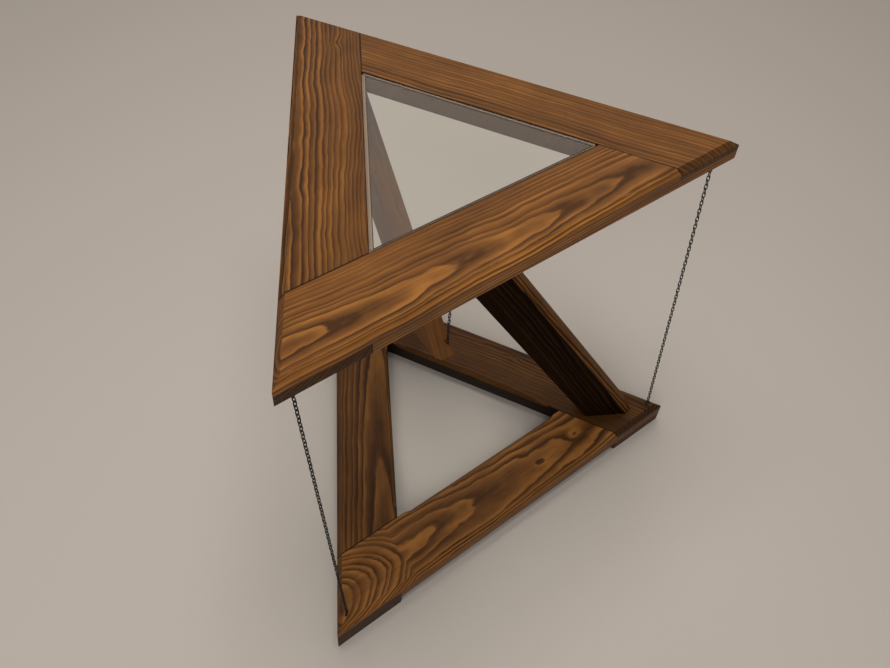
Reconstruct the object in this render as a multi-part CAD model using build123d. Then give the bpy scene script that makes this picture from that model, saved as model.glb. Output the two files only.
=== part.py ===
from build123d import *
import math
import os

# Floating triangular side table. Two equal triangular frames are held apart by chains alone:
# the top hangs from the lower arm by a short centre chain, and three long corner chains
# stop it from tipping. Units are millimetres, +Z is up, and the floor is z = 0.
# Each frame is drawn about its own centre, with azimuth 0 along +X, and the finished table is
# moved so that the origin is on the floor under the middle of its outline.

# ---- driving dimensions --------------------------------------------------------------------
SIDE = 630.0                # outer side of both triangular frames
TOTAL_HEIGHT = 620.0        # floor to the table's top surface
BOARD_WIDTH = 89.0
BOARD_THICKNESS = 28.0
EDGE_CHAMFER = 7.0          # on the upper outer edges of both frames
PAD_THICKNESS = 17.4        # the base stands on a pad under each corner
TOP_SHIFT_X = -32.0         # the hanging top settles off the base's centre by this much
TWIST_AXIS = (-12.0, -6.0)  # where the centre chain hangs, seen from above

CORNERS = {"front_left": 240.0, "right": 0.0, "back_left": 120.0}
RAILS = {"front": 300.0, "back": 60.0, "left": 180.0}
LOWER_ARM_CORNER = CORNERS["right"]
UPPER_ARM_CORNER = CORNERS["back_left"]

# stopped chamfer along the inner edges of the base
CHAMFER_STOP = 14.0         # plain edge left at each inner corner
CUTTER_PILOT_RADIUS = 6.0

# glass panel and the battens inside the opening that it lies on
LEDGE_WIDTH = 5.0
LEDGE_DEPTH = 4.5           # below the table's top surface
GLASS_THICKNESS = 4.0
GLASS_CLEARANCE = 0.8
GLASS_CORNER_RADIUS = 3.0
BRAD_RADIUS = 0.6
BRAD_LENGTH = 18.0
BRAD_SPACING = 100.0
BRAD_HEIGHT = 12.0

# the two leaning arms: a face line is named by its distance from the frame's centre
ARM_CHAMFER = 7.0           # on the one long edge of each arm that is seen most
ARM_EASING = 1.5            # on the other three
LOWER_ARM_WIDTH = 67.5
LOWER_ARM_SLOPE = math.radians(57.2)
LOWER_ARM_UNDERSIDE = 226.0
LOWER_ARM_SIDES = (-14.5, 13.5)
LOWER_ARM_TIP = 414.0
UPPER_ARM_WIDTH = 62.0
UPPER_ARM_SLOPE = math.radians(54.73)
UPPER_ARM_UPSIDE = 230.0
UPPER_ARM_SIDES = (-22.0, 6.0)
UPPER_ARM_TIP = 233.0

# screw eyes
EYE_WIRE_RADIUS = 0.9
EYE_RING_RADIUS = 3.35
EYE_HEIGHT = 7.0            # ring centre above the wood
EYE_DEPTH = 12.0            # thread in the wood
EYE_CORNER_RADIUS = 337.0   # distance of the corner eyes from the frame's centre

# chain
LINK_WIRE_RADIUS = 0.65
LINK_INNER_WIDTH = 2.4
LINK_PITCH = 7.4            # nominal; each chain is fitted to a whole number of links
LINK_GAP = 0.05             # play between neighbouring links

# screws and dowels, none of them visible from above
SCREW_HEAD_RADIUS = 4.5
SCREW_HEAD_HEIGHT = 3.0
SCREW_SHANK_RADIUS = 2.2
SCREW_POINT = 5.0
SCREW_SINK = 1.0
DRIVE_SLOT = (5.0, 1.1, 1.8)
LAP_SCREW_OFFSET = 27.0
TOP_SCREW_LENGTH = 21.0
BASE_SCREW_LENGTH = 38.0
ARM_SCREW_LENGTH = 88.0
ARM_SCREW_RADII = (238.0, 262.0)
DOWEL_RADIUS = 4.0
DOWEL_UP = 11.0
DOWEL_DOWN = 28.0
DOWEL_RADII = (244.0, 268.0)

# ---- derived dimensions --------------------------------------------------------------------
APOTHEM = SIDE / (2 * math.sqrt(3))
TIP_RADIUS = 2 * APOTHEM
LAP_RADIUS = TIP_RADIUS - BOARD_WIDTH
OPENING_APOTHEM = APOTHEM - BOARD_WIDTH
OPENING_SIDE = OPENING_APOTHEM * 2 * math.sqrt(3)
HALF_LAP = BOARD_THICKNESS / 2
BASE_TOP = PAD_THICKNESS + BOARD_THICKNESS
TOP_UNDERSIDE = TOTAL_HEIGHT - BOARD_THICKNESS
BASE_PLACE = Pos(0, 0, PAD_THICKNESS)
TOP_PLACE = Pos(TOP_SHIFT_X, 0, TOP_UNDERSIDE)
OUTLINE_MIDDLE_X = (TIP_RADIUS + TOP_SHIFT_X - APOTHEM) / 2
BEYOND = 10.0               # cutting solids run past the wood by this much


# ---- boards --------------------------------------------------------------------------------
def triangle(apothem):
    """Equilateral triangle with a corner at azimuth 0."""
    radius = 2 * apothem
    corners = [
        (radius * math.cos(math.radians(azimuth)), radius * math.sin(math.radians(azimuth)))
        for azimuth in sorted(CORNERS.values())
    ]
    return Polygon(*corners, align=None)


def turned(azimuth):
    return Rot(0, 0, azimuth)


def strip(azimuth, bottom, top):
    """Slab as wide as a board, along the side whose outward normal has this azimuth."""
    width = BOARD_WIDTH + BEYOND
    slab = Box(width, 2 * SIDE, top - bottom, align=(Align.MIN, Align.CENTER, Align.MIN))
    return turned(azimuth) * Pos(OPENING_APOTHEM, 0, bottom) * slab


def frame_plate():
    """The whole triangle as one plate, with its upper outer edges chamfered."""
    plate = extrude(triangle(APOTHEM), BOARD_THICKNESS)
    return chamfer(plate.edges().group_by(Axis.Z)[-1], EDGE_CHAMFER)


def rail(azimuth):
    """One board of a frame: half-lapped over the one before it and under the one after it."""
    board = frame_plate() & strip(azimuth, 0, BOARD_THICKNESS)
    board -= strip(azimuth - 120, 0, HALF_LAP)
    board -= strip(azimuth + 120, HALF_LAP, BOARD_THICKNESS)
    return board


def stopped_chamfer(azimuth):
    """Path of a 45 degree cutter along a board's inner edge, clear of both inner corners."""
    run_out = math.sqrt(EDGE_CHAMFER ** 2 + 2 * CUTTER_PILOT_RADIUS * EDGE_CHAMFER)
    travel = OPENING_SIDE - 2 * (CHAMFER_STOP + run_out)
    cutter = extrude(SlotCenterToCenter(travel, 2 * CUTTER_PILOT_RADIUS), EDGE_CHAMFER, taper=-45)
    edge = Pos(OPENING_APOTHEM - CUTTER_PILOT_RADIUS, 0, BOARD_THICKNESS - EDGE_CHAMFER)
    return turned(azimuth) * edge * Rot(0, 0, 90) * cutter


def base_rail(azimuth, fittings):
    board = BASE_PLACE * (rail(azimuth) - stopped_chamfer(azimuth))
    return board - fittings


def top_rail(azimuth, fittings):
    return TOP_PLACE * rail(azimuth) - fittings


def corner_pad(azimuth, fittings):
    """Pad under a corner of the base, as large as the lap above it."""
    footprint = extrude(triangle(APOTHEM), PAD_THICKNESS)
    footprint &= strip(azimuth - 60, 0, PAD_THICKNESS)
    footprint &= strip(azimuth + 60, 0, PAD_THICKNESS)
    return footprint - fittings


def ledge(azimuth, fittings):
    """Batten along the inner face of a top rail, mitred to its neighbours."""
    corners = [
        (2 * apothem * math.cos(math.radians(turn)), 2 * apothem * math.sin(math.radians(turn)))
        for apothem, turn in (
            (OPENING_APOTHEM, azimuth - 60),
            (OPENING_APOTHEM, azimuth + 60),
            (OPENING_APOTHEM - LEDGE_WIDTH, azimuth + 60),
            (OPENING_APOTHEM - LEDGE_WIDTH, azimuth - 60),
        )
    ]
    batten = extrude(Polygon(*corners, align=None), BOARD_THICKNESS - LEDGE_DEPTH)
    return TOP_PLACE * batten - fittings


def glass_panel():
    outline = triangle(OPENING_APOTHEM - GLASS_CLEARANCE)
    outline = fillet(outline.vertices(), GLASS_CORNER_RADIUS)
    seat = Pos(0, 0, BOARD_THICKNESS - LEDGE_DEPTH)
    return TOP_PLACE * seat * extrude(outline, GLASS_THICKNESS)


# ---- arms ----------------------------------------------------------------------------------
def arm(foot, width, sides, low, high, chamfered):
    """Board that leans along the z axis of the plane foot, sawn level at both ends."""
    near, far = sides
    section = Pos(width / 2, (near + far) / 2) * Rectangle(width, far - near)
    marked = section.vertices().sort_by_distance(chamfered)[0]
    others = [corner for corner in section.vertices() if corner != marked]
    section = fillet(others, ARM_EASING)
    section = chamfer(section.vertices().sort_by_distance(chamfered)[0], ARM_CHAMFER)
    board = extrude(foot * section, amount=TOTAL_HEIGHT, both=True)
    level = Box(4 * SIDE, 4 * SIDE, high - low, align=(Align.CENTER, Align.CENTER, Align.MIN))
    return board & Pos(0, 0, low) * level


def lower_arm():
    """Rises from the right corner of the base, past the middle of the table."""
    run, rise = math.cos(LOWER_ARM_SLOPE), math.sin(LOWER_ARM_SLOPE)
    foot = Plane((LOWER_ARM_UNDERSIDE, 0, BASE_TOP), x_dir=(rise, 0, run), z_dir=(-run, 0, rise))
    edge = (LOWER_ARM_WIDTH, LOWER_ARM_SIDES[0], 0)
    board = arm(foot, LOWER_ARM_WIDTH, LOWER_ARM_SIDES, BASE_TOP, LOWER_ARM_TIP, edge)
    return turned(LOWER_ARM_CORNER) * board


def upper_arm():
    """Hangs from the back left corner of the top, down past the middle of the table."""
    run, rise = math.cos(UPPER_ARM_SLOPE), math.sin(UPPER_ARM_SLOPE)
    root = Plane((UPPER_ARM_UPSIDE, 0, 0), x_dir=(rise, 0, -run), z_dir=(run, 0, rise))
    edge = (0, UPPER_ARM_SIDES[1], 0)
    tip = UPPER_ARM_TIP - TOP_UNDERSIDE
    board = arm(root, UPPER_ARM_WIDTH, UPPER_ARM_SIDES, tip, 0, edge)
    return TOP_PLACE * turned(UPPER_ARM_CORNER) * board


# ---- screw eyes ----------------------------------------------------------------------------
def screw_eye():
    """Ring in the XZ plane on a shank; the wood's surface is z = 0 and the eye stands on +Z."""
    ring = Pos(0, 0, EYE_HEIGHT) * Rot(90, 0, 0) * Torus(EYE_RING_RADIUS, EYE_WIRE_RADIUS)
    return ring + eye_shank(EYE_HEIGHT - EYE_RING_RADIUS)


def eye_shank(top):
    shank = Cylinder(EYE_WIRE_RADIUS, EYE_DEPTH + top, align=(Align.CENTER, Align.CENTER, Align.MIN))
    return Pos(0, 0, -EYE_DEPTH) * shank


def top_eye_centre(azimuth):
    """Middle of the ring of a corner eye under the top."""
    x = EYE_CORNER_RADIUS * math.cos(math.radians(azimuth)) + TOP_SHIFT_X
    y = EYE_CORNER_RADIUS * math.sin(math.radians(azimuth))
    return Vector(x, y, TOP_UNDERSIDE - EYE_HEIGHT)


def ring_azimuth(azimuth):
    """Rings face square to the way the top twists about the centre chain."""
    eye = top_eye_centre(azimuth)
    return math.degrees(math.atan2(eye.Y - TWIST_AXIS[1], eye.X - TWIST_AXIS[0]))


def base_eye_place(azimuth):
    eye = turned(azimuth) * Pos(EYE_CORNER_RADIUS, 0, BASE_TOP)
    return Pos(*eye.position) * turned(ring_azimuth(azimuth))


def top_eye_place(azimuth):
    eye = top_eye_centre(azimuth)
    return Pos(eye.X, eye.Y, TOP_UNDERSIDE) * turned(ring_azimuth(azimuth)) * Rot(180, 0, 0)


def arm_eye_place(azimuth, centre, face_distance, face_height, slope, upward):
    """Eye square to an arm's sloping face, with its ring centred on the twist axis."""
    along = math.cos(math.radians(azimuth)), math.sin(math.radians(azimuth))
    offset = (TWIST_AXIS[0] - centre[0]) * along[0] + (TWIST_AXIS[1] - centre[1]) * along[1]
    out, lift = -math.sin(slope), upward * math.cos(slope)
    foot = offset - EYE_HEIGHT * out
    if upward > 0:
        foot_height = face_height - (face_distance - foot) * math.tan(slope)
    else:
        foot_height = face_height + (face_distance - foot) * math.tan(slope)
    ring_height = foot_height + EYE_HEIGHT * lift
    normal = (out * along[0], out * along[1], lift)
    side = (-along[1], along[0], 0)
    ring = Plane((*TWIST_AXIS, ring_height), x_dir=Vector(*side).cross(Vector(*normal)), z_dir=normal)
    return ring.location * Pos(0, 0, -EYE_HEIGHT), ring_height


def lower_arm_eye_place():
    return arm_eye_place(
        LOWER_ARM_CORNER, (0, 0), LOWER_ARM_UNDERSIDE, BASE_TOP, LOWER_ARM_SLOPE, -1
    )


def upper_arm_eye_place():
    return arm_eye_place(
        UPPER_ARM_CORNER, (TOP_SHIFT_X, 0), UPPER_ARM_UPSIDE, TOP_UNDERSIDE, UPPER_ARM_SLOPE, 1
    )


# ---- chains --------------------------------------------------------------------------------
def link(inner_length):
    """Oval link standing along Z, its width along Y."""
    bend_radius = LINK_INNER_WIDTH / 2 + LINK_WIRE_RADIUS
    straight = inner_length + 2 * LINK_WIRE_RADIUS - 2 * bend_radius
    centreline = SlotCenterToCenter(straight, 2 * bend_radius).wire()
    wire = sweep((centreline ^ 0) * Circle(LINK_WIRE_RADIUS), path=centreline)
    return Rot(0, 90, 0) * wire


def chain(start, end, first_azimuth, last_azimuth, parity):
    """Interlocked links from the wire of one ring, at start, to the middle of another, at end.

    The first link lies across first_azimuth and the last across last_azimuth; parity is 1
    when the two end links face the same way and 0 when they are square to each other.
    """
    direction = (end - start).normalized()
    length = (end - start).length
    first_gap = EYE_WIRE_RADIUS + LINK_GAP
    span = length + first_gap - LINK_WIRE_RADIUS
    count = round(span / LINK_PITCH)
    if count % 2 != parity:
        count += 1
    pitch = (span - LINK_GAP) / count
    one_link = link(pitch + LINK_GAP)
    across = Vector(math.cos(math.radians(first_azimuth)), math.sin(math.radians(first_azimuth)), 0)
    across = across - direction * across.dot(direction)
    line = Plane(start, x_dir=across, z_dir=direction).location
    twist = (last_azimuth - first_azimuth) / (count - 1)
    links = []
    for number in range(count):
        middle = -first_gap + (pitch + LINK_GAP) / 2 + number * pitch
        roll = number * (90 + twist)
        links.append(line * Pos(0, 0, middle) * Rot(0, 0, roll) * one_link)
    return Compound(links)


def corner_chain(azimuth):
    ring = base_eye_place(azimuth) * Pos(0, 0, EYE_HEIGHT + EYE_RING_RADIUS)
    facing = ring_azimuth(azimuth)
    return chain(Vector(*ring.position), top_eye_centre(azimuth), facing, facing, 1)


def centre_chain():
    """Hangs from the lower arm's eye; its other end is free in the upper arm's eye."""
    upper = lower_arm_eye_place()[1] - EYE_RING_RADIUS
    lower = upper_arm_eye_place()[1]
    turn = (UPPER_ARM_CORNER - LOWER_ARM_CORNER) - 90
    return chain(Vector(*TWIST_AXIS, upper), Vector(*TWIST_AXIS, lower), 0, -turn, 0)


# ---- screws and dowels ---------------------------------------------------------------------
def stacked(solid_type, z, *sizes):
    return Pos(0, 0, z) * solid_type(*sizes, align=(Align.CENTER, Align.CENTER, Align.MIN))


def screw_body(length):
    """Countersunk screw without its drive, head down at z = SCREW_SINK, point up."""
    shank_start = SCREW_SINK + SCREW_HEAD_HEIGHT
    shank = length - SCREW_HEAD_HEIGHT - SCREW_POINT
    body = stacked(Cone, SCREW_SINK, SCREW_HEAD_RADIUS, SCREW_SHANK_RADIUS, SCREW_HEAD_HEIGHT)
    body += stacked(Cylinder, shank_start, SCREW_SHANK_RADIUS, shank)
    body += stacked(Cone, shank_start + shank, SCREW_SHANK_RADIUS, 0.3, SCREW_POINT)
    return body


def screw(length):
    drive = stacked(Box, SCREW_SINK, *DRIVE_SLOT)
    return screw_body(length) - drive - Rot(0, 0, 90) * drive


def screw_hole(length):
    return screw_body(length) + stacked(Cylinder, 0, SCREW_HEAD_RADIUS, SCREW_SINK)


def lap_screw_places(azimuth):
    """Two screws side by side in a corner lap, relative to the frame's centre."""
    return [turned(azimuth) * Pos(LAP_RADIUS, side * LAP_SCREW_OFFSET, 0) for side in (-1, 1)]


def arm_screw_places():
    middle = sum(LOWER_ARM_SIDES) / 2
    return [turned(LOWER_ARM_CORNER) * Pos(radius, middle, 0) for radius in ARM_SCREW_RADII]


def brad():
    """Small nail lying along -X, its head flush at x = 0."""
    return Rot(0, -90, 0) * stacked(Cylinder, 0, BRAD_RADIUS, BRAD_LENGTH)


def brad_places():
    """Three brads through each batten into the rail behind it."""
    face = OPENING_APOTHEM - LEDGE_WIDTH
    return [
        TOP_PLACE * turned(azimuth) * Pos(face, step * BRAD_SPACING, BRAD_HEIGHT) * Rot(0, 0, 180)
        for azimuth in RAILS.values()
        for step in (-1, 0, 1)
    ]


def dowel():
    return stacked(Cylinder, -DOWEL_DOWN, DOWEL_RADIUS, DOWEL_DOWN + DOWEL_UP)


def dowel_places():
    middle = sum(UPPER_ARM_SIDES) / 2
    return [TOP_PLACE * turned(UPPER_ARM_CORNER) * Pos(radius, middle, 0) for radius in DOWEL_RADII]


# ---- assembly ------------------------------------------------------------------------------
def build_parts():
    """Every sub-part by its node name."""
    base_screws = [place for azimuth in CORNERS.values() for place in lap_screw_places(azimuth)]
    top_screws = [TOP_PLACE * place for place in base_screws]
    lower_eye = lower_arm_eye_place()[0]
    upper_eye = upper_arm_eye_place()[0]

    base_holes = [place * screw_hole(BASE_SCREW_LENGTH) for place in base_screws]
    base_holes += [place * screw_hole(ARM_SCREW_LENGTH) for place in arm_screw_places()]
    base_holes += [base_eye_place(azimuth) * eye_shank(0) for azimuth in CORNERS.values()]
    base_holes.append(lower_eye * eye_shank(0))
    top_holes = [place * screw_hole(TOP_SCREW_LENGTH) for place in top_screws]
    top_holes += [place * dowel() for place in dowel_places()]
    top_holes += [place * brad() for place in brad_places()]
    top_holes += [top_eye_place(azimuth) * eye_shank(0) for azimuth in CORNERS.values()]
    top_holes.append(upper_eye * eye_shank(0))

    parts = {
        "lower_arm": lower_arm() - base_holes,
        "upper_arm": upper_arm() - top_holes,
        "glass_panel": glass_panel(),
        "lower_arm_eye": lower_eye * screw_eye(),
        "upper_arm_eye": upper_eye * screw_eye(),
        "centre_chain": centre_chain(),
        "base_lap_screws": Compound([place * screw(BASE_SCREW_LENGTH) for place in base_screws]),
        "top_lap_screws": Compound([place * screw(TOP_SCREW_LENGTH) for place in top_screws]),
        "lower_arm_screws": Compound([place * screw(ARM_SCREW_LENGTH) for place in arm_screw_places()]),
        "upper_arm_dowels": Compound([place * dowel() for place in dowel_places()]),
        "ledge_brads": Compound([place * brad() for place in brad_places()]),
    }
    for name, azimuth in RAILS.items():
        parts[f"base_{name}_rail"] = base_rail(azimuth, base_holes)
        parts[f"top_{name}_rail"] = top_rail(azimuth, top_holes)
        parts[f"glass_ledge_{name}"] = ledge(azimuth, top_holes)
    for name, azimuth in CORNERS.items():
        parts[f"foot_pad_{name}"] = corner_pad(azimuth, base_holes)
        parts[f"base_eye_{name}"] = base_eye_place(azimuth) * screw_eye()
        parts[f"top_eye_{name}"] = top_eye_place(azimuth) * screw_eye()
        parts[f"chain_{name}"] = corner_chain(azimuth)
    return parts


def write_parts():
    os.makedirs("parts", exist_ok=True)
    for name, shape in build_parts().items():
        export_step(Pos(-OUTLINE_MIDDLE_X, 0, 0) * shape, f"parts/{name}.step")


write_parts()
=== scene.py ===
"""Looks of the floating triangular side table: stained pine, clear glass and black chain."""

import math
from dataclasses import dataclass

import bpy
from mathutils import Matrix, Vector


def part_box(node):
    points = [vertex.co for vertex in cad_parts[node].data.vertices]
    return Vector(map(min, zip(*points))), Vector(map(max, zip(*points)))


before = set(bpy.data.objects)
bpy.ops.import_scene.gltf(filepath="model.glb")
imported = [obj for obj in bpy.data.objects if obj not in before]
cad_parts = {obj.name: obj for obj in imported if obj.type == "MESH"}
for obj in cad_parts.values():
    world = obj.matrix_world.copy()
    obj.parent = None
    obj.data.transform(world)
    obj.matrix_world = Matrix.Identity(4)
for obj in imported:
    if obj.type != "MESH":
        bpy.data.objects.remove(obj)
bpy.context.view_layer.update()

# ---- sizes taken from the frame, in metres -------------------------------------------------
MM = 0.001
left_low, left_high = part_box("top_left_rail")
SIDE = left_high.y - left_low.y
BOARD_WIDTH = left_high.x - left_low.x
BOARD_THICKNESS = left_high.z - left_low.z
APOTHEM = SIDE / (2 * math.sqrt(3))
TOP_CENTRE = Vector((left_low.x + APOTHEM, 0, left_low.z))
base_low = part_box("base_left_rail")[0]
BASE_CENTRE = Vector((base_low.x + APOTHEM, 0, base_low.z))
FLOOR_CENTRE = Vector((BASE_CENTRE.x, 0, 0))
FLOOR_RADIUS = 30

EASED_EDGE = 0.5 * MM
EDGE_CHAMFER = 7 * MM
PINE_RELIEF = 1.2 * MM
METAL_RELIEF = 0.08 * MM
RAIL_NORMALS = {"front": 300, "back": 60, "left": 180}  # azimuths in degrees
CORNERS = {"front_left": 240, "right": 0, "back_left": 120}
LOWER_ARM_SLOPE = math.radians(57.2)
UPPER_ARM_SLOPE = math.radians(54.73)
WELD_DISTANCE = 0.005 * MM
SHARP_ANGLE = math.radians(28)

# ---- camera, from the floor under the middle of the base -----------------------------------
CAMERA_TARGET = Vector((-0.0131, 0.0182, 0.5472))
CAMERA_DISTANCE = 1.0239
CAMERA_AZIMUTH = math.radians(-9.02)
CAMERA_ELEVATION = math.radians(42.0)
CAMERA_ROLL = math.radians(4.14)
CAMERA_SENSOR = 36.0
CAMERA_LENS = 33.2
CAMERA_SHIFT = (-0.0120, -0.1685)
SAME_HEIGHT = 6 * MM

# ---- light ---------------------------------------------------------------------------------
MIDDLE = (0, 0, 0.4)
WARM_WHITE = (1.0, 0.95, 0.88)
SOFT_WHITE = (1.0, 0.95, 0.90)
VEIL_WHITE = (1.0, 0.86, 0.74)

# ---- colours, linear -----------------------------------------------------------------------
FLOOR_COLOUR = (0.60, 0.56, 0.52, 1.0)
DARK_STAIN = (0.058, 0.024, 0.0085)
MIDDLE_STAIN = (0.160, 0.064, 0.0165)
LIGHT_STAIN = (0.350, 0.146, 0.0320)
END_GRAIN_STAIN = (0.048, 0.021, 0.0085)
WORN_STAIN = (0.400, 0.210, 0.0800)
JOINT_SHADOW = (0.010, 0.005, 0.0025)
# pale colour of a painted reflection along the ledges' tops
PAINTED_REFLECTION = (0.42, 0.29, 0.22)
BLACK_COAT = (0.005, 0.004, 0.004)
WORN_BLACK = (0.022, 0.018, 0.014)
ZINC = (0.55, 0.53, 0.48)
WORN_ZINC = (0.35, 0.33, 0.28)
HARDWOOD = ((0.36, 0.24, 0.13), (0.55, 0.40, 0.24))
GLASS_TINT = (0.93, 0.95, 0.93, 1.0)
GLASS_SHADOW_TINT = (0.93, 0.96, 0.95, 1.0)
GLASS_IOR = 1.52
SKY_COLOUR = (0.90, 0.87, 0.84, 1.0)
SKY_STRENGTH = 0.19


# ---- shader maths --------------------------------------------------------------------------
class Field:
    """A number that varies over a surface; arithmetic on it adds maths nodes to its tree."""

    def __init__(self, tree, socket):
        self.tree = tree
        self.socket = socket

    def math(self, operation, *others):
        node = self.tree.nodes.new("ShaderNodeMath")
        node.operation = operation
        for socket, value in zip(node.inputs, (self, *others)):
            connect(self.tree, value, socket)
        return Field(self.tree, node.outputs[0])

    def __add__(self, other):
        return self.math("ADD", other)

    def __sub__(self, other):
        return self.math("SUBTRACT", other)

    def __rsub__(self, other):
        return (self * -1) + other

    def __mul__(self, other):
        return self.math("MULTIPLY", other)

    def __truediv__(self, other):
        return self.math("DIVIDE", other)

    def power(self, other):
        return self.math("POWER", other)

    def absolute(self):
        return self.math("ABSOLUTE")

    def fraction(self):
        return self.math("FRACT")

    def whole(self):
        return self.math("FLOOR")

    def above(self, limit):
        return self.math("GREATER_THAN", limit)

    def below(self, limit):
        return self.math("LESS_THAN", limit)

    def smooth(self, low, high, to_low=0.0, to_high=1.0):
        """Smooth step from to_low at low to to_high at high."""
        node = self.tree.nodes.new("ShaderNodeMapRange")
        node.interpolation_type = "SMOOTHSTEP"
        for socket, value in zip(node.inputs, (self, low, high, to_low, to_high)):
            connect(self.tree, value, socket)
        return Field(self.tree, node.outputs[0])


def connect(tree, value, socket):
    """Puts a field, a socket or a plain value into an input."""
    if isinstance(value, Field):
        tree.links.new(value.socket, socket)
    elif isinstance(value, bpy.types.NodeSocket):
        tree.links.new(value, socket)
    else:
        socket.default_value = value


def separate(tree, vector):
    node = tree.nodes.new("ShaderNodeSeparateXYZ")
    tree.links.new(vector, node.inputs[0])
    return [Field(tree, output) for output in node.outputs]


def combine(tree, x, y, z):
    node = tree.nodes.new("ShaderNodeCombineXYZ")
    for socket, value in zip(node.inputs, (x, y, z)):
        connect(tree, value, socket)
    return node.outputs[0]


def noise(tree, vector, frequency, seed=0.0, detail=2.0, roughness=0.5):
    """Noise from about -1 to 1, with its own frequency along each axis."""
    place = tree.nodes.new("ShaderNodeMapping")
    place.inputs["Location"].default_value = (seed * 7.31, seed * 3.17, seed * 5.53)
    place.inputs["Scale"].default_value = frequency
    tree.links.new(vector, place.inputs["Vector"])
    node = tree.nodes.new("ShaderNodeTexNoise")
    node.inputs["Scale"].default_value = 1.0
    node.inputs["Detail"].default_value = detail
    node.inputs["Roughness"].default_value = roughness
    tree.links.new(place.outputs[0], node.inputs["Vector"])
    return (Field(tree, node.outputs[0]) - 0.5) * 2.6


def mix_colours(tree, share, first, second, blend="MIX"):
    node = tree.nodes.new("ShaderNodeMix")
    node.data_type = "RGBA"
    node.blend_type = blend
    connect(tree, share, node.inputs[0])
    for socket, colour in ((node.inputs[6], first), (node.inputs[7], second)):
        connect(tree, (*colour, 1.0) if isinstance(colour, tuple) else colour, socket)
    return node.outputs[2]


def new_material(name):
    material = bpy.data.materials.new(name)
    material.use_nodes = True
    tree = material.node_tree
    return material, tree, tree.nodes["Principled BSDF"]


def bump(tree, height, distance, shader):
    node = tree.nodes.new("ShaderNodeBump")
    node.inputs["Distance"].default_value = distance
    connect(tree, height, node.inputs["Height"])
    tree.links.new(node.outputs[0], shader.inputs["Normal"])


# ---- stained pine --------------------------------------------------------------------------
@dataclass(frozen=True)
class Grain:
    """How a board was cut from its log and stained, and the painted light and shade on its faces.

    Lengths are millimetres in the board's own frame, with x along it from its middle, y across
    it from its outer edge and z up through its thickness.
    """

    across: float  # y of the pith, the line that the growth rings circle
    height: float  # z of the pith at the board's middle
    climb: float  # how steeply the pith sinks along the board
    ring: float  # mean width of one growth ring
    seed: int
    sway: float = 5.0  # how far the rings wander
    dive: tuple = (-1000, 0.0)  # below this x the pith sinks this much more steeply
    knots: tuple = ()  # x, y, radius and how far each pushes the rings apart
    # The tone is partly the stain and partly painted shade of the room, most on the ledges and on the
    # base's back and left rails.
    tone: float = 1.0  # lightness of the whole board
    # The two face lightnesses are painted light and shade: a face made lighter or darker than the
    # board's edges for how light falls on it.
    high_face_painted_shading: float = 1.0  # lightness of the face at high z against the edges
    low_face_painted_shading: float = 1.0  # the same for the face at low z
    contrast: float = 1.0
    sheen: float = 0.20


def board_point(tree, origin, rotation):
    """Position in a board's own frame, in millimetres, and the surface normal in that frame."""
    place = tree.nodes.new("ShaderNodeTexCoord")
    into_board = tree.nodes.new("ShaderNodeMapping")
    into_board.vector_type = "TEXTURE"
    into_board.inputs["Location"].default_value = origin
    into_board.inputs["Rotation"].default_value = rotation.to_euler("XYZ")
    into_board.inputs["Scale"].default_value = (MM, MM, MM)
    tree.links.new(place.outputs["Object"], into_board.inputs["Vector"])
    turned = tree.nodes.new("ShaderNodeMapping")
    turned.vector_type = "TEXTURE"
    turned.inputs["Rotation"].default_value = rotation.to_euler("XYZ")
    tree.links.new(place.outputs["Normal"], turned.inputs["Vector"])
    return into_board.outputs[0], turned.outputs[0]


def fade_out(x, y, along, across, x_reach, y_reach):
    """1 at a place on the board's face, falling to 0 over an oval round it."""
    away = ((x - along) / x_reach).power(2.0) + ((y - across) / y_reach).power(2.0)
    return (away * -1).math("EXPONENT")


def ring_distance(tree, point, grain):
    """Distance from the pith in millimetres, wavering as a tree's rings do, and how flat they lie."""
    x, y, z = separate(tree, point)
    sway = noise(tree, point, (0.006, 0.004, 0.004), grain.seed, 1.0) * grain.sway
    wiggle = noise(tree, point, (0.020, 0.012, 0.012), grain.seed + 7, 2.0) * (grain.sway * 0.30)
    ripple = noise(tree, point, (0.022, 0.035, 0.035), grain.seed + 3, 2.0) * (grain.sway * 0.22)
    shiver = noise(tree, point, (0.05, 0.25, 0.25), grain.seed + 5, 2.0) * 0.22
    dive_start, dive_slope = grain.dive
    dive = (dive_start - x).math("MAXIMUM", 0.0) * dive_slope
    from_pith_y = y - grain.across + sway + wiggle
    from_pith_z = z - grain.height + x * grain.climb + dive + ripple
    distance = (from_pith_y * from_pith_y + from_pith_z * from_pith_z).power(0.5) + shiver
    for along, across, radius, lift in grain.knots:
        distance = distance + fade_out(x, y, along, across, radius * 1.9, radius) * lift
    flatness = from_pith_z.absolute() / distance
    return distance, flatness


def joint_shadow(x, y, z):
    """1 within a hair of a rail's joints with its neighbours, 0 elsewhere."""
    width, apothem = BOARD_WIDTH / MM, APOTHEM / MM
    own_edge = y.smooth(width - 1.5, width - 0.4)
    to_next_rail = (apothem - y) * 0.5 - x * math.sin(math.radians(60)) + (apothem - width)
    next_edge = to_next_rail.smooth(0.4, 1.6, 1.0, 0.0) * z.above(BOARD_THICKNESS / MM / 2)
    return own_edge.math("MAXIMUM", next_edge)


def edge_wear(tree, point, y, seed):
    """1 where the stain is rubbed thin along the arris between a rail's top and its chamfer."""
    from_arris = (y - EDGE_CHAMFER / MM).absolute()
    rubbed = noise(tree, point, (0.05, 0.4, 0.4), seed + 23, 3.0, 0.7).smooth(-0.1, 0.7)
    return from_arris.smooth(0.3, 1.5, 1.0, 0.0) * rubbed


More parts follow.
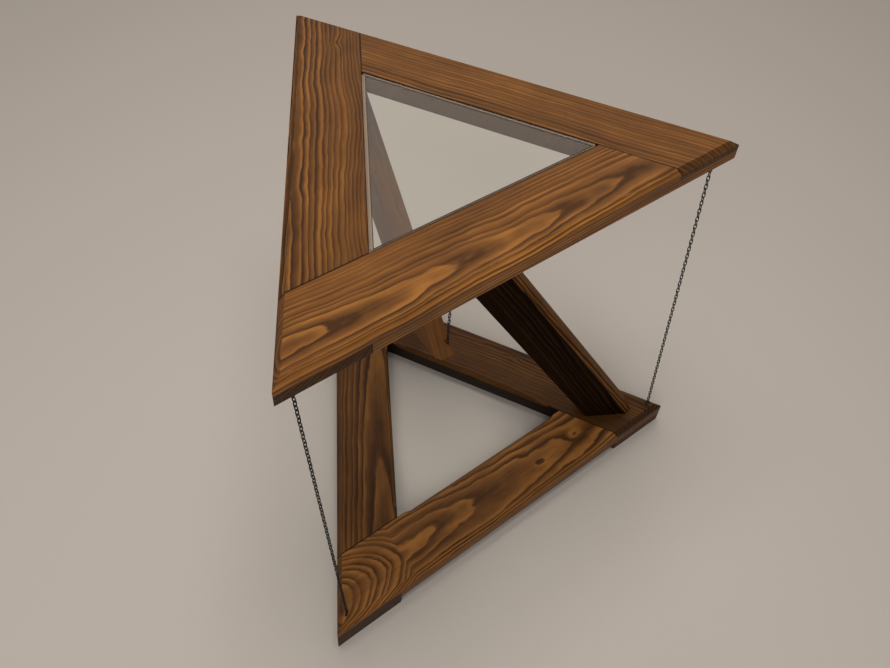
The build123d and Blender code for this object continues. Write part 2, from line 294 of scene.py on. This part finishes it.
def early_to_late_wood(tree, rings, grain):
    """Where in its ring a place is, as (share of late wood, start of a ring, tone of the ring)."""
    ring_line = combine(tree, rings, grain.seed, 0.0)
    uneven = noise(tree, ring_line, (0.11, 1.0, 1.0), grain.seed, 2.0)
    count = rings / grain.ring + uneven * 0.9
    part = count.fraction()
    ring_number = combine(tree, count.whole(), 0.5, 0.5)
    ring_tone = noise(tree, ring_number, (0.83, 1.0, 1.0), grain.seed)
    late = part.smooth(0.15, 0.85) * part.smooth(0.90, 1.0, 1.0, 0.0)
    new_ring = part.smooth(0.0, 0.05) * part.smooth(0.10, 0.30, 1.0, 0.0)
    return late, new_ring, ring_tone


def ring_boldness(tree, point, flatness, ring_tone, broad, grain):
    """How strongly the rings show: bold where the cut grazes them, faint in patches."""
    bold = flatness.smooth(0.30, 1.0, 0.26, 1.0) * (ring_tone * 0.55 + 0.9) * grain.contrast
    patches = noise(tree, point, (0.010, 0.035, 0.035), grain.seed + 21, 2.0)
    return bold * (broad * 0.30 + 1.0) * patches.smooth(-0.9, 0.7, 0.40, 1.15)


def stain_colour(tree, light):
    """Dark to light stain for a lightness from 0 to about 1.2."""
    colour = mix_colours(tree, light.smooth(0.0, 0.62), DARK_STAIN, MIDDLE_STAIN)
    return mix_colours(tree, light.smooth(0.50, 1.25), colour, LIGHT_STAIN)


def dimmed(tree, colour, share):
    return mix_colours(tree, 1.0, colour, combine(tree, share, share, share), "MULTIPLY")


def stained_pine(name, place, grain, jointed=False, reflection_strip_width=0.0):
    """Open-grained softwood under a walnut stain: rings in the solid, so end grain follows.

    A jointed board has worn arrises and dark joint lines. A strip of its top, from its neighbour's
    edge and of the width given last, is painted pale as a reflection of light.
    """
    material, tree, shader = new_material(name)
    point, normal = board_point(tree, *place)
    x, y, z = separate(tree, point)
    nx, ny, nz = separate(tree, normal)
    rings, flatness = ring_distance(tree, point, grain)
    late, new_ring, ring_tone = early_to_late_wood(tree, rings, grain)
    broad = noise(tree, point, (0.006, 0.022, 0.022), grain.seed + 11, 2.0)
    streak = noise(tree, point, (0.007, 0.30, 0.30), grain.seed + 15, 2.0, 0.6)
    fibre = noise(tree, point, (0.035, 1.3, 1.3), grain.seed + 13, 3.0, 0.6)
    fine = noise(tree, point, (0.12, 4.5, 4.5), grain.seed + 17, 2.0, 0.6)
    blotch = noise(tree, point, (0.02, 0.045, 0.045), grain.seed + 19, 3.0, 0.55)

    boldness = ring_boldness(tree, point, flatness, ring_tone, broad, grain)
    light = (late * 0.72 - new_ring * 0.16 - 0.24) * boldness
    light = light + broad * 0.24 + streak * 0.18 + fibre * 0.10 + fine * 0.05 + blotch * 0.22 + 0.50
    colour = stain_colour(tree, light)
    end_tone = mix_colours(tree, late * 0.45, END_GRAIN_STAIN, MIDDLE_STAIN)
    colour = mix_colours(tree, nx.absolute().smooth(0.30, 0.75) * 0.85, colour, end_tone)
    for along, across, radius, _ in grain.knots:
        core = fade_out(x, y, along, across, radius * 0.40, radius * 0.28)
        colour = mix_colours(tree, core * 0.85, colour, END_GRAIN_STAIN)
    if jointed:
        worn = edge_wear(tree, point, y, grain.seed)
        colour = mix_colours(tree, worn * 0.45, colour, WORN_STAIN)
        colour = mix_colours(tree, joint_shadow(x, y, z) * 0.9, colour, JOINT_SHADOW)
    # Painted light and shade: the faces at high and low z are made lighter or darker than the edges
    # for how light falls, and the board's tone holds painted shade as well as stain.
    high_face_painted_shading = nz.smooth(0.80, 0.95, 1.0, grain.high_face_painted_shading)
    low_face_painted_shading = (nz * -1).smooth(0.80, 0.95, 1.0, grain.low_face_painted_shading)
    colour = dimmed(tree, colour, high_face_painted_shading * low_face_painted_shading * grain.tone)
    # Painted reflection: a pale strip along the top, next to the neighbouring board's edge.
    if reflection_strip_width:
        reflection_colour = dimmed(tree, PAINTED_REFLECTION, late * 0.10 + fibre * 0.05 + 0.90)
        reflection_strip = nz.smooth(0.6, 0.8) * y.below(BOARD_WIDTH / MM + reflection_strip_width)
        colour = mix_colours(tree, reflection_strip, colour, reflection_colour)
    connect(tree, colour, shader.inputs["Base Color"])
    roughness = 0.56 - late * 0.06 + fibre * 0.05 + blotch * 0.03
    connect(tree, roughness, shader.inputs["Roughness"])
    shader.inputs["Specular IOR Level"].default_value = grain.sheen
    if not reflection_strip_width:
        saw_marks = ((x * 0.75 + z * 2.4 + blotch * 2.0) * 0.9).math("SINE")
        sawn_edge = ny.absolute().smooth(0.80, 0.95)
        relief = late * 0.10 + fibre * 0.07 + fine * 0.03 + saw_marks * sawn_edge * 0.04
        bump(tree, relief, PINE_RELIEF, shader)
    return material


# ---- other materials -----------------------------------------------------------------------
def clear_glass():
    """Clear float glass that lets light through to what is under it."""
    material, tree, shader = new_material("clear_glass")
    shader.inputs["Base Color"].default_value = GLASS_TINT
    shader.inputs["Roughness"].default_value = 0.0
    shader.inputs["IOR"].default_value = GLASS_IOR
    shader.inputs["Transmission Weight"].default_value = 1.0
    path = tree.nodes.new("ShaderNodeLightPath")
    clear = tree.nodes.new("ShaderNodeBsdfTransparent")
    clear.inputs["Color"].default_value = GLASS_SHADOW_TINT
    mixer = tree.nodes.new("ShaderNodeMixShader")
    tree.links.new(path.outputs["Is Shadow Ray"], mixer.inputs[0])
    tree.links.new(shader.outputs[0], mixer.inputs[1])
    tree.links.new(clear.outputs[0], mixer.inputs[2])
    tree.links.new(mixer.outputs[0], tree.nodes["Material Output"].inputs[0])
    return material


def metal(name, colour, worn_colour, roughness, metallic):
    """Coated metal, scuffed in small patches."""
    material, tree, shader = new_material(name)
    place = tree.nodes.new("ShaderNodeTexCoord").outputs["Object"]
    scuff = noise(tree, place, (900, 900, 900), 2.0, 3.0, 0.6)
    patches = noise(tree, place, (160, 160, 160), 5.0, 2.0)
    worn = (scuff + patches).smooth(0.5, 1.3)
    connect(tree, mix_colours(tree, worn * 0.6, colour, worn_colour), shader.inputs["Base Color"])
    connect(tree, scuff * 0.08 + roughness, shader.inputs["Roughness"])
    shader.inputs["Metallic"].default_value = metallic
    bump(tree, scuff, METAL_RELIEF, shader)
    return material


def plain_hardwood():
    material, tree, shader = new_material("plain_hardwood")
    place = tree.nodes.new("ShaderNodeTexCoord").outputs["Object"]
    fibre = noise(tree, place, (1500, 1500, 40), 1.0, 3.0)
    colour = mix_colours(tree, fibre.smooth(-1.0, 1.0), *HARDWOOD)
    connect(tree, colour, shader.inputs["Base Color"])
    shader.inputs["Roughness"].default_value = 0.6
    return material


# ---- dressing the frame's nodes ------------------------------------------------------------
def dress(node_name, material, smooth_edges=0.0):
    """Puts a material on a node and rounds its sharp edges a little."""
    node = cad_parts[node_name]
    for slot in node.material_slots:
        slot.material = material
    if smooth_edges:
        weld = node.modifiers.new("weld", "WELD")
        weld.merge_threshold = WELD_DISTANCE
        ease = node.modifiers.new("eased_edges", "BEVEL")
        ease.width = smooth_edges
        ease.segments = 2
        ease.limit_method = "ANGLE"
        ease.angle_limit = SHARP_ANGLE
        ease.harden_normals = True


def rail_place(centre, azimuth):
    """Origin and rotation of a rail's own frame: x along it, y inwards from its outer edge."""
    angle = math.radians(azimuth)
    outer_edge = centre + Vector((math.cos(angle), math.sin(angle), 0)) * APOTHEM
    return outer_edge, Matrix.Rotation(angle + math.pi / 2, 3, "Z")


def pad_place(azimuth):
    """Origin and rotation of a foot pad's own frame, with the table's corner across from it."""
    angle = math.radians(azimuth)
    return FLOOR_CENTRE, Matrix.Rotation(angle + math.pi / 2, 3, "Z")


def arm_place(node_name, azimuth, slope, rises_outward):
    """Origin and rotation of an arm's own frame: x up along it, y across its wide side."""
    low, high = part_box(node_name)
    turn = Matrix.Rotation(math.radians(azimuth), 3, "Z")
    run = math.cos(slope) * (1 if rises_outward else -1)
    along = turn @ Vector((run, 0, math.sin(slope)))
    side = turn @ Vector((0, 1, 0))
    across = side.cross(along)
    return (low + high) / 2, Matrix((along, across, side)).transposed()


# Rail tones hold painted shade as well as stain: the base's back and left rails are darkened partly
# for the shade under the top. The tops of the upper front and left rails are painted darker and
# lighter than their edges for how light falls.
RAIL_GRAIN = {
    "top_front": Grain(across=30, height=62, climb=-0.030, ring=4.5, seed=1, sway=6, tone=1.35,
                      high_face_painted_shading=0.785),
    "top_back": Grain(across=150, height=-20, climb=0.0, ring=5.5, seed=2, sway=5, contrast=1.7),
    "top_left": Grain(across=-14, height=80, climb=0.006, ring=4.6, seed=3, sway=9, tone=0.68,
                      contrast=1.40, high_face_painted_shading=1.22, knots=((-232, 57, 7, 4.0),)),
    "base_front": Grain(across=40, height=112, climb=-0.030, ring=4.4, seed=4, sway=8,
                        dive=(-185, 0.32), contrast=1.15,
                        knots=((152, 42, 7, 3.6), (73, 36, 6, 3.0))),
    "base_back": Grain(across=-10, height=-25, climb=0.01, ring=4.2, seed=5, sway=7, tone=0.50,
                       contrast=1.1, knots=((-54, 21, 6, 5.0),)),
    "base_left": Grain(across=68, height=84, climb=0.026, ring=4.6, seed=6, sway=5, tone=0.64,
                       contrast=1.2),
}
# Width of the painted reflection, a pale strip along each ledge's top by its rail.
LEDGE_REFLECTION_WIDTH = {"front": 3.0, "back": 2.0, "left": 4.0}  # millimetres
# The ledges' dark tone is painted shade on their faces seen through the glass.
LEDGE_GRAIN = Grain(across=160, height=-30, climb=0.0, ring=4.0, seed=12, sway=3, tone=0.30,
                    contrast=0.3, sheen=0.0)
# The lower arm's face at low z is painted in deep shade, about a tenth as light as its other faces,
# and its face at high z a little darker.
LOWER_ARM_GRAIN = Grain(across=40, height=-70, climb=0.012, ring=4.0, seed=8, sway=5, tone=0.75,
                        contrast=1.8, high_face_painted_shading=0.85, low_face_painted_shading=0.10, sheen=0.03)
UPPER_ARM_GRAIN = Grain(across=70, height=25, climb=0.010, ring=3.8, seed=9, sway=5, tone=0.95)


def dress_rails():
    for level, centre in (("top", TOP_CENTRE), ("base", BASE_CENTRE)):
        for side, azimuth in RAIL_NORMALS.items():
            name = f"{level}_{side}"
            place = rail_place(centre, azimuth)
            pine = stained_pine(f"{name}_pine", place, RAIL_GRAIN[name], jointed=True)
            dress(f"{name}_rail", pine, EASED_EDGE)


def dress_ledges():
    for side, azimuth in RAIL_NORMALS.items():
        place = rail_place(TOP_CENTRE, azimuth)
        reflection_strip_width = LEDGE_REFLECTION_WIDTH[side]
        pine = stained_pine(f"ledge_{side}_pine", place, LEDGE_GRAIN, reflection_strip_width=reflection_strip_width)
        dress(f"glass_ledge_{side}", pine)


def dress_pads():
    for seed, (corner, azimuth) in enumerate(CORNERS.items(), 20):
        grain = Grain(across=20, height=60, climb=0.02, ring=3.0, seed=seed, tone=0.75)
        pine = stained_pine(f"pad_{corner}_pine", pad_place(azimuth), grain)
        dress(f"foot_pad_{corner}", pine, EASED_EDGE)


def dress_arms():
    place = arm_place("lower_arm", CORNERS["right"], LOWER_ARM_SLOPE, False)
    dress("lower_arm", stained_pine("lower_arm_pine", place, LOWER_ARM_GRAIN), EASED_EDGE)
    place = arm_place("upper_arm", CORNERS["back_left"], UPPER_ARM_SLOPE, True)
    dress("upper_arm", stained_pine("upper_arm_pine", place, UPPER_ARM_GRAIN), EASED_EDGE)


def dress_hardware():
    black = metal("black_chain", BLACK_COAT, WORN_BLACK, roughness=0.50, metallic=0.0)
    zinc = metal("zinc_screw", ZINC, WORN_ZINC, roughness=0.35, metallic=1.0)
    for node_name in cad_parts:
        if "chain" in node_name or "eye" in node_name:
            dress(node_name, black)
        elif "screws" in node_name or "brads" in node_name:
            dress(node_name, zinc)
    dress("upper_arm_dowels", plain_hardwood())
    dress("glass_panel", clear_glass(), EASED_EDGE)


# ---- stage ---------------------------------------------------------------------------------
def make_floor():
    """Pale floor that is clear from below, so that the underside of the table can be seen."""
    bpy.ops.mesh.primitive_circle_add(vertices=96, radius=FLOOR_RADIUS, fill_type="NGON")
    floor = bpy.context.object
    floor.name = "floor"
    material, tree, shader = new_material("pale_floor")
    shader.inputs["Base Color"].default_value = FLOOR_COLOUR
    shader.inputs["Roughness"].default_value = 0.85
    from_below = tree.nodes.new("ShaderNodeNewGeometry").outputs["Backfacing"]
    mixer = tree.nodes.new("ShaderNodeMixShader")
    tree.links.new(from_below, mixer.inputs[0])
    tree.links.new(shader.outputs[0], mixer.inputs[1])
    tree.links.new(tree.nodes.new("ShaderNodeBsdfTransparent").outputs[0], mixer.inputs[2])
    tree.links.new(mixer.outputs[0], tree.nodes["Material Output"].inputs[0])
    floor.data.materials.append(material)


def make_panel_light(name, place, target, size, power, colour):
    data = bpy.data.lights.new(name, "AREA")
    data.shape = "RECTANGLE"
    data.size, data.size_y = size
    data.energy = power
    data.color = colour
    light = bpy.data.objects.new(name, data)
    light.location = FLOOR_CENTRE + Vector(place)
    light.rotation_euler = (Vector(target) - Vector(place)).to_track_quat("-Z", "Y").to_euler()
    bpy.context.scene.collection.objects.link(light)
    return light


def make_lights():
    """Soft light from above and in front, and a broad panel behind that the glass mirrors."""
    ceiling = make_panel_light("ceiling", (-0.15, -0.05, 2.62), MIDDLE, (1.1, 1.1), 26, WARM_WHITE)
    ceiling.visible_glossy = False
    make_panel_light("veil", (0.45, 2.6, 2.75), (0, 0, 0.6), (4.2, 3.0), 30, VEIL_WHITE)
    fill = make_panel_light("fill", (-0.7, -2.1, 2.2), MIDDLE, (1.6, 1.6), 23, SOFT_WHITE)
    fill.visible_glossy = False


def make_world():
    world = bpy.data.worlds.new("studio")
    world.use_nodes = True
    background = world.node_tree.nodes["Background"]
    background.inputs["Color"].default_value = SKY_COLOUR
    background.inputs["Strength"].default_value = SKY_STRENGTH
    bpy.context.scene.world = world


def shift_only_here(camera, axis, shift):
    """Lens shift at the camera's present height; a camera moved elsewhere looks straight ahead."""
    curve = camera.data.driver_add(axis)
    for modifier in list(curve.modifiers):
        curve.modifiers.remove(modifier)
    curve.driver.type = "SUM"
    height = curve.driver.variables.new()
    height.type = "TRANSFORMS"
    height.targets[0].id = camera
    height.targets[0].transform_type = "LOC_Z"
    height.targets[0].transform_space = "WORLD_SPACE"
    present = camera.matrix_world.translation.z
    for at, value in ((0.0, 0.0), (present - SAME_HEIGHT, shift), (present + SAME_HEIGHT, 0.0)):
        key = curve.keyframe_points.insert(at, value)
        key.interpolation = "CONSTANT"


def make_camera():
    """Camera that looks along its own -Z axis, rolled a little about it."""
    data = bpy.data.cameras.new("camera")
    data.sensor_width = CAMERA_SENSOR
    data.lens = CAMERA_LENS
    camera = bpy.data.objects.new("camera", data)
    flat = math.cos(CAMERA_ELEVATION)
    east = math.sin(CAMERA_AZIMUTH) * flat
    south = math.cos(CAMERA_AZIMUTH) * flat
    back = Vector((east, -south, math.sin(CAMERA_ELEVATION)))
    right = Vector((math.cos(CAMERA_AZIMUTH), math.sin(CAMERA_AZIMUTH), 0))
    up = back.cross(right)
    rolled_right = right * math.cos(CAMERA_ROLL) + up * math.sin(CAMERA_ROLL)
    rolled_up = up * math.cos(CAMERA_ROLL) - right * math.sin(CAMERA_ROLL)
    turn = Matrix((rolled_right, rolled_up, back)).transposed().to_4x4()
    place = FLOOR_CENTRE + CAMERA_TARGET + back * CAMERA_DISTANCE
    camera.matrix_world = Matrix.Translation(place) @ turn
    bpy.context.scene.collection.objects.link(camera)
    for axis, shift in zip(("shift_x", "shift_y"), CAMERA_SHIFT):
        shift_only_here(camera, axis, shift)
    bpy.context.scene.camera = camera


dress_rails()
dress_ledges()
dress_pads()
dress_arms()
dress_hardware()
make_floor()
make_lights()
make_world()
make_camera()
bpy.context.scene.view_settings.view_transform = "Standard"
